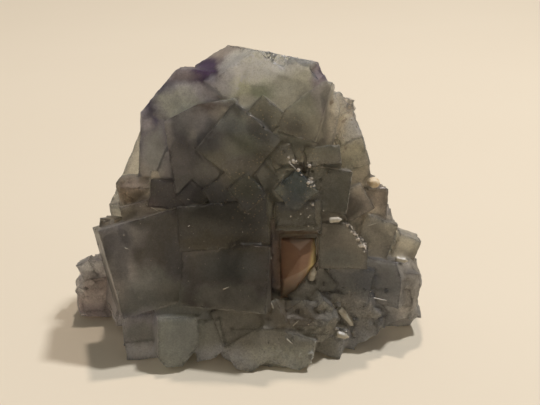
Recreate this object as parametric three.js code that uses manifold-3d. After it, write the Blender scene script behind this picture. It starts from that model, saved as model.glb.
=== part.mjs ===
// A fluorite cluster: intergrown cubes of pale green, purple and smoky fluorite, grown as one
// piece, with an iron-stained crystal in a recess and a few quartz prisms lodged on the front.
// Millimetres, +Z up, -Y is the show face. The origin is the middle of the footprint.

import * as THREE from 'three';
import { ConvexGeometry } from 'three/addons/geometries/ConvexGeometry.js';
import { mergeVertices } from 'three/addons/utils/BufferGeometryUtils.js';
import Module from 'manifold-3d';

const wasm = await Module();
wasm.setup();

// Driving dimensions, in millimetres.
const LARGE = 17;            // edge of the largest cubes
const MEDIUM = 12;           // edge of the middle cubes
const SMALL = 7;             // edge of the small cubes
const STEP_RISE = 0.3;       // how far one growth layer stands over the next
const LIP = 0.25;            // margin left where a growth layer nearly reaches the edge
const GAP = 0.35;            // clearance round a quartz crystal in its socket
const STAINED_GAP = 0.8;     // clearance round the iron-stained crystal
const REACH = 200;           // longer than the cluster: the block that trims the foot

// Shares and angles.
const STEP_INSET = 0.2;      // most that a growth layer draws back, as a share of the face
const LAYER_DEPTH = 0.7;     // depth of a growth layer, as a share of its crystal
const RIPPLE = 0.05;         // broad swell of a broken lump, as a share of its size
const ROUGHNESS = 0.06;      // facet to facet unevenness of a lump, as a share of its size
const TUMBLE = { roll: 45, lean: [-4, 40], swing: 28 };   // how freely rubble is turned

// Finishes.
const FLUORITE = { color: 0x6e6a5c, roughness: 0.35 };
const IRON_STAINED = { color: 0x7c4a26, roughness: 0.45 };
const QUARTZ = { color: 0xd8cfb8, roughness: 0.3 };
const CREAM_QUARTZ = { color: 0xd2bd94, roughness: 0.5 };

const degrees = THREE.MathUtils.degToRad;

// Solids: three.js geometry in, manifold solid out, and back again.

function solidOf(geometry) {
  const bare = geometry.clone();
  bare.deleteAttribute('normal');
  bare.deleteAttribute('uv');
  const merged = mergeVertices(bare, 1e-4);
  return new wasm.Manifold(new wasm.Mesh({
    numProp: 3,
    vertProperties: new Float32Array(merged.attributes.position.array),
    triVerts: new Uint32Array(merged.index.array),
  }));
}

function geometryOf(solid) {
  const { vertProperties, triVerts } = solid.getMesh();
  const geometry = new THREE.BufferGeometry();
  geometry.setAttribute('position', new THREE.BufferAttribute(vertProperties, 3));
  geometry.setIndex(outerShell(vertProperties.length / 3, triVerts));
  return geometry;
}

// The triangles of the largest shell alone, so that a pocket sealed between crystals is filled.
function outerShell(pointCount, corners) {
  const parent = Array.from({ length: pointCount }, (_, point) => point);
  const rootOf = (point) => {
    let root = point;
    while (parent[root] !== root) root = parent[root];
    parent[point] = root;
    return root;
  };
  for (let i = 0; i < corners.length; i += 3) {
    parent[rootOf(corners[i])] = rootOf(corners[i + 2]);
    parent[rootOf(corners[i + 1])] = rootOf(corners[i + 2]);
  }
  const sizes = new Map();
  for (const point of corners) sizes.set(rootOf(point), (sizes.get(rootOf(point)) ?? 0) + 1);
  const [largest] = [...sizes].reduce((best, shell) => (shell[1] > best[1] ? shell : best));
  return [...corners].filter((_, i) => rootOf(corners[i - (i % 3)]) === largest);
}

const join = (solids) => solids.reduce((all, solid) => all.add(solid));

// Large, unrelated numbers, so that neighbouring seeds give unlike values.
const SCATTER = { stretch: 127.1, shift: 311.7, spread: 43758.5453 };

// A repeatable value between low and high, one for each seed, for natural irregularity.
function pick(seed, low = -1, high = 1) {
  const wave = Math.sin(seed * SCATTER.stretch + SCATTER.shift) * SCATTER.spread;
  return low + (high - low) * (wave - Math.floor(wave));
}

// Places a shape made with its front face centred on the origin and facing -Y.
// roll turns the face in its own plane, lean tips it back, swing turns it towards +X.
function place(geometry, at, { roll = 0, lean = 0, swing = 0 }) {
  geometry.rotateY(-degrees(roll));
  geometry.rotateX(-degrees(lean));
  geometry.rotateZ(degrees(swing));
  return geometry.translate(...at);
}

// A box with its front face on the plane y = 0 and its depth going back along +Y.
function box([wide, high, deep], [x, y, z] = [0, 0, 0]) {
  return new THREE.BoxGeometry(wide, deep, high).translate(x, y + deep / 2, z);
}

// A block that takes away everything beyond a plane: a direction, and how far out along it.
function beyond({ towards, out }, span, deep) {
  const block = new THREE.BoxGeometry(span, span, span).translate(0, 0, span / 2 + out);
  const away = new THREE.Vector3(...towards).normalize();
  block.applyQuaternion(new THREE.Quaternion().setFromUnitVectors(new THREE.Vector3(0, 0, 1), away));
  return block.translate(0, deep / 2, 0);
}

// One cube-like crystal of [wide, high, deep], its front face centred at "at". Growth layers
// stand on that face, each drawn back from two of its edges. Each cut breaks a corner off.
function crystal(at, size, turn = {}, { layers = 0, cuts = [] } = {}) {
  const [wide, high, deep] = size;
  const seed = at[0] * 3.1 + at[2] * 1.7 + wide;
  let solid = solidOf(place(box(size), at, turn));
  for (let layer = 1; layer <= layers; layer += 1) {
    const backX = STEP_INSET * wide * layer * pick(seed + layer, 0.2, 1);
    const backZ = STEP_INSET * high * layer * pick(seed - layer, 0.2, 1);
    const sideX = Math.sign(pick(seed + 5)) * (backX / 2);
    const sideZ = Math.sign(pick(seed + 8)) * (backZ / 2);
    const face = [wide - backX - 2 * LIP, high - backZ - 2 * LIP, deep * LAYER_DEPTH];
    solid = solid.add(solidOf(place(box(face, [sideX, -STEP_RISE * layer, sideZ]), at, turn)));
  }
  const span = 3 * Math.max(wide, high, deep);
  for (const cut of cuts) solid = solid.subtract(solidOf(place(beyond(cut, span, deep), at, turn)));
  return solid;
}

// A broken lump of [across, high, deep]: a boxy ball pushed out and in, so that it has the
// flat, uneven facets of cleaved fluorite. Squareness 2 is a ball, and 6 is nearly a block.
function lump([x, y, z], [across, high, deep], seed, { detail = 3, squareness = 4 } = {}) {
  const ball = new THREE.IcosahedronGeometry(1, detail);
  ball.deleteAttribute('normal');
  ball.deleteAttribute('uv');
  const shape = mergeVertices(ball, 1e-4);
  const points = shape.attributes.position;
  const point = new THREE.Vector3();
  for (let i = 0; i < points.count; i += 1) {
    point.fromBufferAttribute(points, i);
    const total = point.toArray().reduce((sum, value) => sum + Math.abs(value) ** squareness, 0);
    const ripple = Math.sin(point.x * 5.1 + seed) + Math.sin(point.y * 4.7 + seed * 2.3)
      + Math.sin(point.z * 5.9 + seed * 1.7);
    const reach = total ** (-1 / squareness) * (1 + RIPPLE * ripple + ROUGHNESS * pick(seed + i));
    points.setXYZ(i, point.x * reach * across / 2, point.y * reach * deep / 2,
      point.z * reach * high / 2);
  }
  return solidOf(shape.translate(x, y, z));
}

// Rubble: small crystals strewn over a patch of [across, high, deep], each turned its own way.
function rubble([x, y, z], [across, high, deep], count, size, seed) {
  return Array.from({ length: count }, (_, i) => {
    const own = (n, low, high) => pick(seed + i * 7 + n, low, high);
    const edge = size * own(1, 0.55, 1.45);
    const at = [x + across * own(2, -0.5, 0.5), y + deep * own(3, -0.5, 0.5), z + high * own(4, -0.5, 0.5)];
    const turn = {
      roll: TUMBLE.roll * own(5),
      lean: own(6, ...TUMBLE.lean),
      swing: TUMBLE.swing * own(7),
    };
    return crystal(at, [edge, edge * own(8, 0.7, 1.3), size * 1.8], turn);
  });
}

// The body that every crystal grows from: a wedge, broad at the foot and thin at the crown.
function body() {
  const corners = [
    [-23, -8, -1], [-12, -12, -1], [11, -11, -1], [18, -4, -1], [25, 6, -1], [22, 14, -1],
    [-20, 15, -1], [-27, 6, -1], [28, 5, 8], [-25, -5, 20], [-14, -8, 22], [5, -6, 26], [24, 1, 20],
    [22, 11, 24], [-22, 11, 26], [-18, 2, 32], [-14, 3, 44], [13, 1, 46], [12, 8, 50],
    [-12, 9, 48],
  ].map((corner) => new THREE.Vector3(...corner));
  return solidOf(new ConvexGeometry(corners));
}

// The pale crown, its shoulder and the thin plate behind them.
function crown() {
  return [
    crystal([2, 0.6, 44.6], [30, 27, 10], { roll: -11, lean: 15 }, {
      cuts: [{ towards: [-0.68, -0.45, 0.74], out: 12.8 }, { towards: [1, 0, 0.8], out: 15.4 },
        { towards: [-0.5, -0.3, -0.86], out: 2.4 }],
    }),
    crystal([-13.5, 3.2, 41.6], [17, 25, 9], { roll: -2, lean: 13, swing: -6 }, {
      cuts: [{ towards: [-1, 0, 0.75], out: 8.8 }],
    }),
    crystal([-20.5, 9, 31], [11, 22, 5], { roll: -23, lean: 6, swing: -14 }),
  ];
}

// Dark cubes on the upper front, most of them turned on their corners.
function upperFront() {
  return [
    crystal([-8.4, -3.6, 41], [14.6, 16.4, 10], { roll: 9, lean: 18 }, {
      cuts: [{ towards: [-0.31, 0, 0.95], out: 7.9 }],
    }),
    crystal([-2, -6.5, 42.2], [11.6, 11.8, 10], { roll: -39, lean: 20 }),
    crystal([-3, -9, 33.8], [9.6, 7.8, 10], { roll: 38, lean: 20 }),
    crystal([-0.4, -10.2, 34], [5, 5.8, 8], { roll: 38, lean: 20 }),
    crystal([3.2, -2.6, 46.8], [6.4, 5.4, 6], { roll: -41, lean: 18 }),
    crystal([10.6, -3, 48.6], [7.8, 12, 8], { roll: -13, lean: 20, swing: -8 }, {
      cuts: [{ towards: [-0.78, 0, 0.63], out: 2 }],
    }),
    crystal([14.2, -4.6, 39.4], [7, 4, 8], { roll: 6, lean: 34 }),
    crystal([9, -8.5, 33.6], [6.2, 6.2, 8], { roll: -46, lean: 18 }),
    crystal([9.4, -10, 29], [9, 6.2, 9], { roll: 2, lean: 32 }, { layers: 1 }),
    crystal([15.2, -6.5, 33], [8.6, 8.6, 10], { roll: -8, lean: 18 }),
    crystal([20.8, -3, 28.9], [5.8, 5.8, 8], { roll: 30, lean: 16 }),
    crystal([6.4, -5.6, 39.6], [4.6, 4, 6], { roll: 20, lean: 24 }),
  ];
}

// The left side above the big cubes.
function leftFront() {
  return [
    lump([-22.2, 1, 29.2], [9, 7, 8], 3, { detail: 2 }),
    crystal([-20, -6.6, 28], [9.8, 5.4, 10], { roll: 14, lean: 20 }),
    crystal([-16, -6, 31.8], [7, 5.4, 8], { roll: -6, lean: 18 }),
    crystal([-11, -7.5, 32], [4.8, 4.8, 7], { roll: -45, lean: 18 }),
    crystal([-18, -1, 33.4], [3.6, 3, 6], { roll: -12, lean: 34 }),
    crystal([-27, 3, 24.2], [3, 4.4, 8], { roll: 10, lean: 14 }),
    crystal([-25.6, 5, 27], [3, 3.6, 8], { roll: 28, lean: 10 }),
  ];
}

// The two big cubes low on the front, and the blocks round them.
function bigCubes() {
  return [
    crystal([-18.8, -12.2, 20.2], [16.3, 17.8, 14], { roll: 11, lean: 20, swing: 14 }),
    crystal([-21.5, -12.6, 6], [7, 6, 12], { roll: 4, lean: 14, swing: 6 }),
    crystal([-21.2, -14, 2], [6.6, 4, 12], { roll: 6, lean: 12 }),
    crystal([-4.8, -15, 18.6], [17.4, 13, 13], { roll: 1, lean: 19, swing: -14 }),
    crystal([-5, -11.8, 27.8], [17.4, 8.8, 10], { roll: 5, lean: 22 }),
    crystal([-11.6, -14.4, 10], [13, 7, 10], { roll: 8, lean: 16, swing: 4 }),
  ];
}

// Low blocks along the front foot, their lower corners broken off.
function foot() {
  return [
    crystal([-13.6, -18, 6], [8, 10, 10], { roll: -4, lean: 16, swing: 14 }, {
      cuts: [{ towards: [0.8, -0.1, -0.6], out: 4.2 }, { towards: [-0.8, 0, -0.6], out: 5 }],
    }),
    crystal([-8, -16, 5.4], [6.4, 8, 9], { roll: 14, lean: 14, swing: -12 }, {
      cuts: [{ towards: [0.5, 0, -0.86], out: 3.4 }],
    }),
    crystal([-2, -15.2, 8.4], [9, 8.6, 9], { roll: 18, lean: 18, swing: 6 }),
    crystal([4.4, -14.8, 8.2], [8.2, 7.4, 9], { roll: -28, lean: 20, swing: -4 }),
    crystal([0.4, -18, 4], [8.6, 7, 10], { roll: 27, lean: 18, swing: 6 }, {
      cuts: [{ towards: [-0.6, 0, -0.8], out: 3.9 }],
    }),
    crystal([7.6, -17.8, 4.2], [9.4, 6.8, 10], { roll: -12, lean: 18, swing: -8 }, {
      cuts: [{ towards: [0.8, 0, -0.6], out: 4.6 }],
    }),
    crystal([14.8, -12.6, 3.6], [7.6, 6, 9], { roll: -10, lean: 16, swing: -14 }),
    lump([4, -11.4, 3.2], [19, 11.6, 11], 57, { detail: 2, squareness: 4 }),
  ];
}

// The right flank: cubes low down, and broken pale crystals up the edge beside the crown.
function rightFlank() {
  return [
    crystal([18.2, -9, 22.2], [9.6, 9, 10], { roll: 1, lean: 18, swing: -4 }, {
      cuts: [{ towards: [0.82, 0, 0.57], out: 3.4 }],
    }),
    crystal([25.8, -6.5, 13.3], [9.4, 9, 12], { roll: 1, lean: 18, swing: -28 }, {
      cuts: [{ towards: [0.9, 0, 0.44], out: 4.7 }],
    }),
    crystal([19.6, -8.8, 13.6], [9, 8, 9], { roll: -9, lean: 20, swing: -6 }),
    crystal([25.2, -2, 20.8], [7, 8.4, 9], { roll: -20, lean: 16 }),
    crystal([25.4, 1, 26.8], [4.8, 7, 8], { roll: -3, lean: 12, swing: 8 }),
    crystal([32, 2, 16.4], [4.8, 5.6, 8], { roll: -20, lean: 12 }),
    lump([24.8, 1.4, 6.6], [19.6, 17.2, 17], 21),
    lump([18.6, -3.8, 5.4], [15, 15.4, 13.6], 5),
    ...rubble([21.5, -10, 6], [11, 6, 1], 7, 2.6, 90),
    ...rubble([30, -5, 7], [6, 7, 2], 5, 2.6, 190),
    crystal([17.2, 3, 47], [3.8, 4.4, 6], { roll: 28, lean: 14, swing: 8 }),
    crystal([19.2, 3, 42.6], [5.2, 6.2, 7], { roll: 20, lean: 14, swing: 10 }),
    crystal([20.4, 3, 37.4], [6, 7, 8], { roll: 14, lean: 14, swing: 8 }),
    crystal([21.6, 3, 32.6], [5.4, 5.4, 8], { roll: 4, lean: 14, swing: 6 }),
    ...rubble([18.8, 4, 41], [3.4, 13, 2], 9, 2, 300),
  ];
}

// Clear small cubes over a brown lump, at the far left.
function farLeft() {
  return [
    crystal([-34.2, 3.4, 11.1], [3.2, 4, 5], { roll: 26, lean: 12 }),
    crystal([-31.6, 3.8, 11.2], [3.4, 4, 6], { roll: 4, lean: 10 }),
    crystal([-34.8, 3, 7.4], [4.6, 2.2, 6], { roll: 48, lean: 10 }),
    lump([-32.8, 7, 4], [8.4, 9, 10], 17, { detail: 2 }),
  ];
}

// The side away from the show face: cubes of the same habit, less regular.
function back() {
  return [
    crystal([-12, 18, 12], [LARGE, 16, 12], { roll: 8, lean: 6, swing: 172 }, { layers: 2 }),
    crystal([8, 18.5, 10], [LARGE, 14, 12], { roll: -6, lean: 4, swing: 186 }, { layers: 2 }),
    crystal([23, 13, 13], [MEDIUM, 14, 12], { roll: 14, lean: 6, swing: 150 }, { layers: 1 }),
    crystal([-25, 12, 13], [MEDIUM, 13, 12], { roll: -12, lean: 6, swing: 215 }, { layers: 1 }),
    crystal([-4, 16.6, 29], [14, 14, 12], { roll: 38, lean: 8, swing: 180 }, { layers: 2 }),
    crystal([12, 15.6, 30], [MEDIUM, MEDIUM, 10], { roll: -10, lean: 8, swing: 176 }, { layers: 1 }),
    crystal([-16.5, 15.6, 29], [11, 13, 10], { roll: 12, lean: 8, swing: 190 }, { layers: 1 }),
    crystal([20.5, 11.6, 28], [9, 9, 8], { roll: 25, lean: 8, swing: 158 }, { layers: 1 }),
    crystal([3.4, 14.6, 44], [13, 13, 7], { roll: 20, lean: 2, swing: 182 }, { layers: 2 }),
    crystal([-8, 14.4, 42], [9, 9, 7], { roll: -30, lean: 4, swing: 186 }, { layers: 1 }),
    crystal([-16.4, 13.4, 41], [8, 8, 7], { roll: 10, lean: 4, swing: 196 }, { layers: 1 }),
    crystal([12.6, 13.4, 41], [8, 9, 7], { roll: -20, lean: 6, swing: 168 }, { layers: 1 }),
    crystal([1.6, 18.4, 20.4], [8, 8, 8], { roll: 45, lean: 8, swing: 180 }, { layers: 1 }),
    crystal([-21.4, 16.2, 21], [SMALL, SMALL, 8], { roll: 40, lean: 8, swing: 196 }, { layers: 1 }),
    crystal([16.6, 17.2, 20], [SMALL, SMALL, 8], { roll: -38, lean: 8, swing: 168 }, { layers: 1 }),
    ...rubble([-2, 15, 5], [8, 6, 1], 6, 3, 410),
    ...rubble([2, 13, 37], [24, 3, 1], 8, 2.6, 520),
  ];
}

// Cubes that face left and right.
function flanks() {
  return [
    crystal([29.4, 6, 20], [SMALL, SMALL, 8], { roll: 30, lean: 12, swing: 84 }, { layers: 1 }),
    crystal([33.6, 7, 9], [10, 9, 9], { roll: -8, lean: 8, swing: 98 }, { layers: 1 }),
    crystal([24.6, 8, 27], [SMALL, 8, 8], { roll: 12, lean: 10, swing: 86 }, { layers: 1 }),
    crystal([20.6, 8, 38], [SMALL, 9, 7], { roll: -25, lean: 8, swing: 98 }, { layers: 1 }),
    crystal([-29, 5, 17], [9, 9, 9], { roll: 15, lean: 8, swing: -84 }, { layers: 1 }),
    crystal([-31.6, 9, 11], [SMALL, SMALL, 8], { roll: -32, lean: 8, swing: -100 }, { layers: 1 }),
    crystal([-28.2, -3, 8], [9, 8, 8], { roll: -10, lean: 6, swing: -66 }, { layers: 1 }),
    crystal([-28.6, -4, 23], [3, 5.6, 6], { roll: -4, lean: 16, swing: -10 }, { layers: 1 }),
  ];
}

// Chips broken from the rim of the crown, where it was struck, one after the other along it.
function rimChips(count = 13) {
  return Array.from({ length: count }, (_, i) => {
    const along = i / (count - 1);
    const edge = pick(i + 60, 1, 2.6);
    const at = [-3 + 19 * along, pick(i + 70, 1, 7), 58.4 - 4 * along - 3 * along ** 4];
    const turn = { roll: pick(i, 25, 65), lean: pick(i + 20, -30, 30), swing: pick(i + 40, -40, 40) };
    return crystal(at, [edge, edge, 3], turn);
  });
}

// The recess beside the lower cube.
const recess = solidOf(new THREE.BoxGeometry(9.2, 16, 17).translate(8.8, -13, 18));

// What grew across the foot of the recess.
function sill() {
  return [
    crystal([13, -9, 12], [9, 7, 8], { roll: 42, lean: 16 }),
    lump([10, -9, 7.4], [15, 7.4, 13], 11),
    ...rubble([10, -14.2, 9], [12, 5, 2], 8, 3.2, 40),
  ];
}

// The iron-stained crystal in the recess: [x, y, z] of its corners about its own middle.
const STAINED_AT = [9.4, -8, 18.2];
const stainedCorners = [
  [-3.2, 1, 4.6], [-1.3, 0, 4.3], [2.9, 0.8, 4.8], [0.8, -1.6, 2.2], [2.5, -1, 2.8],
  [3.7, 0.6, 2.8], [3.7, 0.6, 0], [3.1, -0.8, 0], [0.4, -1.8, -1.4], [-2.7, -1.2, -3.7],
  [-3.2, -0.4, -1.8], [-1.5, 0.4, -7.8], [-2.7, 0.6, -8.8], [-3.2, 0.8, -8.4],
  [-3, 3.4, 4], [3.4, 3.4, 4], [-2.6, 3.4, -7.6], [3.1, 3.4, -1.2],
].map((corner) => new THREE.Vector3(...corner));

// The stained crystal, or with a margin the pocket that it stands in.
function stained(margin = 0) {
  const grown = stainedCorners.map((corner) => corner.clone().addScaledVector(
    corner.clone().normalize(), margin));
  return solidOf(new ConvexGeometry(grown).translate(...STAINED_AT));
}

// A quartz prism lying on the front: six sides, a point at one end and a blunt other end. With
// a margin it is the socket round that prism.
function quartz({ at, length, girth, turn }, margin = 0) {
  const radius = girth / 2 + margin;
  const half = length / 2 + margin;
  const point = girth * 0.7;
  const bevel = girth * 0.2;
  const profile = [[0, -half], [radius - bevel / 2, -half], [radius, bevel - half],
    [radius, half - point], [0, half]].map(([x, y]) => new THREE.Vector2(x, y));
  const prism = new THREE.LatheGeometry(profile, 6).rotateZ(-Math.PI / 2);
  return solidOf(place(prism, at, turn));
}

const prisms = [
  { name: 'quartz_prism_upright', at: [12.4, -8.7, 16.3], length: 3, girth: 1.5, turn: { roll: 76 } },
  { name: 'quartz_prism_long', at: [19.2, -10.2, 7.3], length: 5.2, girth: 1.5, turn: { roll: -52 } },
  { name: 'quartz_prism_stub', at: [21.4, -9.8, 3.3], length: 2.4, girth: 2, turn: { roll: -64 } },
  { name: 'quartz_prism_low', at: [18.4, -13, 4.8], length: 2.8, girth: 1.5, turn: { roll: -18 } },
  { name: 'quartz_prism_ledge', at: [16.7, -9.6, 28.1], length: 2.6, girth: 1.2, turn: { roll: 4 } },
  { name: 'quartz_prism_right', at: [30.4, -4.6, 17.3], length: 2.8, girth: 1.2, turn: { roll: -14 } },
];

// A cream grain of quartz on a ledge high on the right.
const quartzGrain = (margin = 0) => lump(
  [24.8, 2.2, 31.2], [2.6, 2, 2.2].map((size) => size + 2 * margin), 8, { detail: 1 });

const grown = join([
  body(), ...crown(), ...upperFront(), ...leftFront(), ...bigCubes(), ...foot(),
  ...rightFlank(), ...farLeft(), ...back(), ...flanks(),
]);

// The foot is broken off flat, with hollows where it came away from the rock; the last one
// leaves the lower right hanging over the ground.
const below = solidOf(new THREE.BoxGeometry(REACH, REACH, REACH).translate(0, 0, -REACH / 2));
const hollows = [
  lump([-13, 5, -1], [13, 4.4, 10], 31, { detail: 2 }),
  lump([13, 6, -1], [11, 4.4, 10], 37, { detail: 2 }),
  lump([31, -8.4, -1.6], [19, 11.4, 17], 63, { detail: 2 }),
];
const sockets = [...prisms.map((prism) => quartz(prism, GAP)), quartzGrain(GAP), stained(STAINED_GAP)];
const cluster = join([grown.subtract(recess), ...sill()])
  .subtract(join([below, ...hollows, ...sockets, ...rimChips()]));

function piece(name, solid, finish) {
  const material = new THREE.MeshStandardMaterial({ ...finish, metalness: 0, flatShading: true });
  const mesh = new THREE.Mesh(geometryOf(solid), material);
  mesh.name = name;
  return mesh;
}

const group = new THREE.Group();
group.add(piece('fluorite_cluster', cluster, FLUORITE));
group.add(piece('iron_stained_crystal', stained(), IRON_STAINED));
group.add(piece('quartz_grain', quartzGrain(), CREAM_QUARTZ));
for (const prism of prisms) group.add(piece(prism.name, quartz(prism), QUARTZ));

// The origin is brought under the middle of the whole cluster.
const middle = new THREE.Box3().setFromObject(group).getCenter(new THREE.Vector3());
group.position.set(-middle.x, -middle.y, 0);

export default group;
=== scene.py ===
"""A fluorite cluster on a pale floor: cubes that are clear and purple at the crown, smoky below.

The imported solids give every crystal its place. Each is dressed here: its edges are worn, its
faces get growth relief, and quartz crumbs, crust and tiny cubes are laid over it. Sizes are in
millimetres unless a name says otherwise, and meshes are in metres.
"""

from __future__ import annotations

import logging
import math
import random
from collections.abc import Sequence
from dataclasses import dataclass
from enum import Enum

import bmesh
import bpy
from mathutils import Euler, Matrix, Vector, noise
from mathutils.bvhtree import BVHTree
from mathutils.kdtree import KDTree

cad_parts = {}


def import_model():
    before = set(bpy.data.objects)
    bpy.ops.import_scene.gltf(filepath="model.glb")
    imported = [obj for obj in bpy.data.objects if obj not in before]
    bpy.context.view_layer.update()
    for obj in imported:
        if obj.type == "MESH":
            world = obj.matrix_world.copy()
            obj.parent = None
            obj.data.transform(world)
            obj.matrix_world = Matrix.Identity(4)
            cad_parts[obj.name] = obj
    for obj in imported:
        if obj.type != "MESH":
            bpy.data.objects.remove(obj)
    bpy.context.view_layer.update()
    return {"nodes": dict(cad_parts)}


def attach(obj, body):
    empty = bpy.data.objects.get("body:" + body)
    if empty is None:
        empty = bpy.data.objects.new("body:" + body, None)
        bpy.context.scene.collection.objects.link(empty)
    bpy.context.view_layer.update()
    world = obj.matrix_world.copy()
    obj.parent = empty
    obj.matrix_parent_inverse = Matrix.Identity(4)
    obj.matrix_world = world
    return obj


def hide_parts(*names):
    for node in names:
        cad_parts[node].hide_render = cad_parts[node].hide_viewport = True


LOG = logging.getLogger("fluorite")
MM = 0.001
BODY = "root"

# Faces that meet flatter than FLAT are one crystal face. Edges sharper than SHARP wear, and
# those sharper than CREASE still look sharp when the piece is worn.
FLAT = math.radians(0.4)
SHARP = math.radians(22)
CREASE = math.radians(26)
# The blocky steps of rough places lie askew to the crystals.
STEP_TURN = Euler((0.5, 0.35, 0.25)).to_matrix()

Colour = tuple[float, float, float, float]
Point = tuple[float, float, float]
Tree = bpy.types.NodeTree
Socket = bpy.types.NodeSocket


def linear(hex_colour: str) -> Colour:
    """Turns an sRGB hex colour to linear light.

    Args:
        hex_colour: the colour, such as "#8a7f6d".

    Returns:
        The red, green, blue and alpha.
    """
    parts = [int(hex_colour[i:i + 2], 16) / 255 for i in (1, 3, 5)]
    red, green, blue = (p / 12.92 if p <= 0.04045 else ((p + 0.055) / 1.055) ** 2.4 for p in parts)
    return red, green, blue, 1.0


def add_node(tree: Tree, kind: str, inputs: dict | None = None,
             **settings: object) -> bpy.types.Node:
    """Adds a node with its settings and links.

    Args:
        tree: the node tree that it goes into.
        kind: the node's type name.
        inputs: socket name or number to a value, or to an output socket to link from.
        settings: the node's own properties.

    Returns:
        The new node.
    """
    node = tree.nodes.new(kind)
    for name, value in settings.items():
        setattr(node, name, value)
    for name, value in (inputs or {}).items():
        if isinstance(value, Socket):
            tree.links.new(value, node.inputs[name])
        else:
            node.inputs[name].default_value = value
    return node


def away_from(tree: Tree, place: Socket, at: Point, reach: Point) -> Socket:
    """Measures how far out of an ellipsoid's middle a position lies.

    Args:
        tree: the material's tree.
        place: the position.
        at: the ellipsoid's middle.
        reach: its half lengths.

    Returns:
        The distance, 0 in the middle and 1 on the ellipsoid's skin.
    """
    scale = tuple(1 / half for half in reach)
    shift = tuple(-middle * size for middle, size in zip(at, scale))
    local = add_node(tree, "ShaderNodeVectorMath", {
        0: place, 1: scale, 2: shift}, operation="MULTIPLY_ADD")
    return add_node(tree, "ShaderNodeVectorMath", {
        0: local.outputs["Vector"]}, operation="LENGTH").outputs["Value"]


def uneven(tree: Tree, place: Socket, size_mm: float, noise_span: tuple[float, float],
           span: tuple[float, float], detail: float = 5.0, roughness: float = 0.6) -> Socket:
    """Makes a value that differs from patch to patch.

    Args:
        tree: the material's tree.
        place: the position, in millimetres.
        size_mm: how far apart the patches are.
        noise_span: the noise at which the value reaches its two ends.
        span: the two ends.
        detail: how many finer layers the patches have.
        roughness: how strong those are.

    Returns:
        The value.
    """
    cloud = add_node(tree, "ShaderNodeTexNoise", {
        "Vector": place, "Scale": 1 / size_mm, "Detail": detail, "Roughness": roughness})
    return add_node(tree, "ShaderNodeMapRange", {
        "Value": cloud.outputs["Fac"], "From Min": noise_span[0], "From Max": noise_span[1],
        "To Min": span[0], "To Max": span[1]}).outputs["Result"]


def object_with(name: str, bm: bmesh.types.BMesh, material: bpy.types.Material) -> bpy.types.Object:
    """Makes an object at the origin from a finished bmesh.

    Args:
        name: the piece's name.
        bm: its mesh, in metres, which is freed.
        material: its finish.

    Returns:
        The object, linked to the scene.
    """
    mesh = bpy.data.meshes.new(name)
    bm.to_mesh(mesh)
    bm.free()
    mesh.materials.append(material)
    piece = bpy.data.objects.new(name, mesh)
    bpy.context.scene.collection.objects.link(piece)
    return piece


@dataclass(frozen=True)
class Finish:
    """A material, named for what the real one is and how its surface was made."""

    name: str

    def build(self) -> bpy.types.Material:
        """Makes the material.

        Returns:
            The material, with its surface and, where light goes into it, its inside.
        """
        material = bpy.data.materials.new(self.name)
        material.use_nodes = True
        tree = material.node_tree
        tree.nodes.clear()
        place = add_node(tree, "ShaderNodeTexCoord").outputs["Object"]
        millimetres = add_node(tree, "ShaderNodeMapping", {
            "Vector": place, "Scale": (1 / MM, 1 / MM, 1 / MM)}).outputs["Vector"]
        shader = add_node(tree, "ShaderNodeBsdfPrincipled", self.surface(tree, millimetres))
        add_node(tree, "ShaderNodeOutputMaterial", {
            "Surface": shader.outputs["BSDF"], **self.inside(tree)})
        return material

    def surface(self, tree: Tree, millimetres: Socket) -> dict[str, object]:
        """Makes the patterns of the surface.

        Args:
            tree: the material's tree.
            millimetres: the position on the object, in millimetres.

        Returns:
            The shader's inputs.
        """
        raise NotImplementedError

    def inside(self, tree: Tree) -> dict[str, Socket]:
        """Fills the inside, which most finishes leave as it is."""
        return {}


@dataclass(frozen=True)
class Zone:
    """A soft-edged ellipsoid of colour in the crystal, in the part's own frame.

    Its strength is its share of the colour in the middle. Its edge is half the width of the
    fade, as a share of its reach.
    """

    at: Point
    reach: Point
    colour: str
    strength: float = 0.6
    edge: float = 0.5


@dataclass(frozen=True)
class Tint:
    """The colour of the crystals round a point, which fades out over its reach."""

    at: Point
    reach: float
    colour: str


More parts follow.
